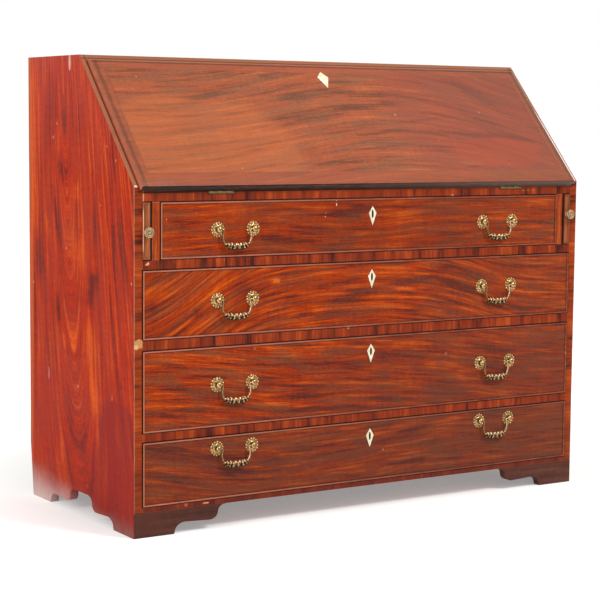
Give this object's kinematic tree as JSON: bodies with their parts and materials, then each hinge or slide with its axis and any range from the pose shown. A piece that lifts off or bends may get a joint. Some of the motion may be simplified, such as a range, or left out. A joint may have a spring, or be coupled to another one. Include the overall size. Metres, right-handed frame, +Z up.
{
  "type": "slant-front desk",
  "caption": "Mahogany bureau: a sloping fall opens onto lopers over long drawers with brass bails, with pigeonholes and small drawers behind it.",
  "frame": {"origin": "centre of the bounding box's footprint, at floor level", "axes": "+X to the viewer's right along the width, -Y out of the drawer fronts, +Z up"},
  "size_m": [1.22, 0.5591, 1.035],
  "materials": {
    "antique_brass": "aged, half polished",
    "bone": null,
    "crossband": "worn shellac polish, satin",
    "mahogany": "worn shellac polish, satin",
    "mahogany_foot": "dark worn polish",
    "mahogany_side": "worn shellac polish, satin",
    "oak_lining": "bare wood, dry",
    "pine_lining": "bare wood, dry"
  },
  "bodies": {
    "case": {"back_panel": "pine_lining", "bottom_board": "mahogany", "drawer_rail_1": "crossband", "drawer_rail_2": "crossband", "drawer_rail_3": "crossband", "fall_lock_strike": "antique_brass", "foot_back_left": "pine_lining", "foot_back_right": "pine_lining", "foot_front_left": "mahogany_foot", "foot_front_right": "mahogany_foot", "hinge_left_bed_leaf": "antique_brass", "hinge_right_bed_leaf": "antique_brass", "loper_partition_left": "mahogany", "loper_partition_right": "mahogany", "pigeonholes_centre": "mahogany", "pigeonholes_left": "mahogany", "pigeonholes_right": "mahogany", "side_left": "mahogany_side", "side_right": "mahogany_side", "top_board": "mahogany", "writing_bed": "mahogany"},
    "fall": {"fall": "mahogany", "fall_lock": "antique_brass", "fall_escutcheon": "bone", "hinge_left_fall_leaf": "antique_brass", "hinge_right_fall_leaf": "antique_brass"},
    "loper_left": {"loper_left": "mahogany", "loper_left_knob": "antique_brass"},
    "loper_right": {"loper_right": "mahogany", "loper_right_knob": "antique_brass"},
    "drawer_1": {"drawer_1_front": "mahogany", "drawer_1_box": "oak_lining", "drawer_1_lock": "antique_brass", "drawer_1_escutcheon": "bone"},
    "drawer_1_bail_left": {"drawer_1_bail_left": "antique_brass"},
    "drawer_1_bail_right": {"drawer_1_bail_right": "antique_brass"},
    "drawer_2": {"drawer_2_front": "mahogany", "drawer_2_box": "oak_lining", "drawer_2_lock": "antique_brass", "drawer_2_escutcheon": "bone"},
    "drawer_2_bail_left": {"drawer_2_bail_left": "antique_brass"},
    "drawer_2_bail_right": {"drawer_2_bail_right": "antique_brass"},
    "drawer_3": {"drawer_3_front": "mahogany", "drawer_3_box": "oak_lining", "drawer_3_lock": "antique_brass", "drawer_3_escutcheon": "bone"},
    "drawer_3_bail_left": {"drawer_3_bail_left": "antique_brass"},
    "drawer_3_bail_right": {"drawer_3_bail_right": "antique_brass"},
    "drawer_4": {"drawer_4_front": "mahogany", "drawer_4_box": "oak_lining", "drawer_4_lock": "antique_brass", "drawer_4_escutcheon": "bone"},
    "drawer_4_bail_left": {"drawer_4_bail_left": "antique_brass"},
    "drawer_4_bail_right": {"drawer_4_bail_right": "antique_brass"},
    "small_drawer_left": {"small_drawer_left": "mahogany", "small_drawer_left_knob": "antique_brass"},
    "small_drawer_centre": {"small_drawer_centre": "mahogany", "small_drawer_centre_knob": "antique_brass"},
    "small_drawer_right": {"small_drawer_right": "mahogany", "small_drawer_right_knob": "antique_brass"}
  },
  "joints": [
    {"name": "fall_hinge", "type": "hinge", "parent": "case", "child": "fall", "pos_m": [0, -0.2605, 0.739], "axis": [1, 0, 0], "range_deg": [0, 133.1]},
    {"name": "loper_left_slide", "type": "slide", "parent": "case", "child": "loper_left", "axis": [0, -1, 0], "range_m": [0, 0.29]},
    {"name": "loper_right_slide", "type": "slide", "parent": "case", "child": "loper_right", "axis": [0, -1, 0], "range_m": [0, 0.29]},
    {"name": "drawer_1_slide", "type": "slide", "parent": "case", "child": "drawer_1", "axis": [0, -1, 0], "range_m": [0, 0.38]},
    {"name": "drawer_1_bail_left_hinge", "type": "hinge", "parent": "drawer_1", "child": "drawer_1_bail_left", "pos_m": [-0.3627, -0.2681, 0.6585], "axis": [-1, 0, 0], "range_deg": [-2, 165]},
    {"name": "drawer_1_bail_right_hinge", "type": "hinge", "parent": "drawer_1", "child": "drawer_1_bail_right", "pos_m": [0.3627, -0.2681, 0.6585], "axis": [-1, 0, 0], "range_deg": [-2, 165]},
    {"name": "drawer_2_slide", "type": "slide", "parent": "case", "child": "drawer_2", "axis": [0, -1, 0], "range_m": [0, 0.38]},
    {"name": "drawer_2_bail_left_hinge", "type": "hinge", "parent": "drawer_2", "child": "drawer_2_bail_left", "pos_m": [-0.3627, -0.2681, 0.5047], "axis": [-1, 0, 0], "range_deg": [-2, 165]},
    {"name": "drawer_2_bail_right_hinge", "type": "hinge", "parent": "drawer_2", "child": "drawer_2_bail_right", "pos_m": [0.3627, -0.2681, 0.5047], "axis": [-1, 0, 0], "range_deg": [-2, 165]},
    {"name": "drawer_3_slide", "type": "slide", "parent": "case", "child": "drawer_3", "axis": [0, -1, 0], "range_m": [0, 0.38]},
    {"name": "drawer_3_bail_left_hinge", "type": "hinge", "parent": "drawer_3", "child": "drawer_3_bail_left", "pos_m": [-0.3627, -0.2681, 0.3194], "axis": [-1, 0, 0], "range_deg": [-2, 165]},
    {"name": "drawer_3_bail_right_hinge", "type": "hinge", "parent": "drawer_3", "child": "drawer_3_bail_right", "pos_m": [0.3627, -0.2681, 0.3194], "axis": [-1, 0, 0], "range_deg": [-2, 165]},
    {"name": "drawer_4_slide", "type": "slide", "parent": "case", "child": "drawer_4", "axis": [0, -1, 0], "range_m": [0, 0.38]},
    {"name": "drawer_4_bail_left_hinge", "type": "hinge", "parent": "drawer_4", "child": "drawer_4_bail_left", "pos_m": [-0.3627, -0.2681, 0.1784], "axis": [-1, 0, 0], "range_deg": [-2, 165]},
    {"name": "drawer_4_bail_right_hinge", "type": "hinge", "parent": "drawer_4", "child": "drawer_4_bail_right", "pos_m": [0.3627, -0.2681, 0.1784], "axis": [-1, 0, 0], "range_deg": [-2, 165]},
    {"name": "small_drawer_left_slide", "type": "slide", "parent": "case", "child": "small_drawer_left", "axis": [0, -1, 0], "range_m": [0, 0.19]},
    {"name": "small_drawer_centre_slide", "type": "slide", "parent": "case", "child": "small_drawer_centre", "axis": [0, -1, 0], "range_m": [0, 0.19]},
    {"name": "small_drawer_right_slide", "type": "slide", "parent": "case", "child": "small_drawer_right", "axis": [0, -1, 0], "range_m": [0, 0.19]}
  ]
}
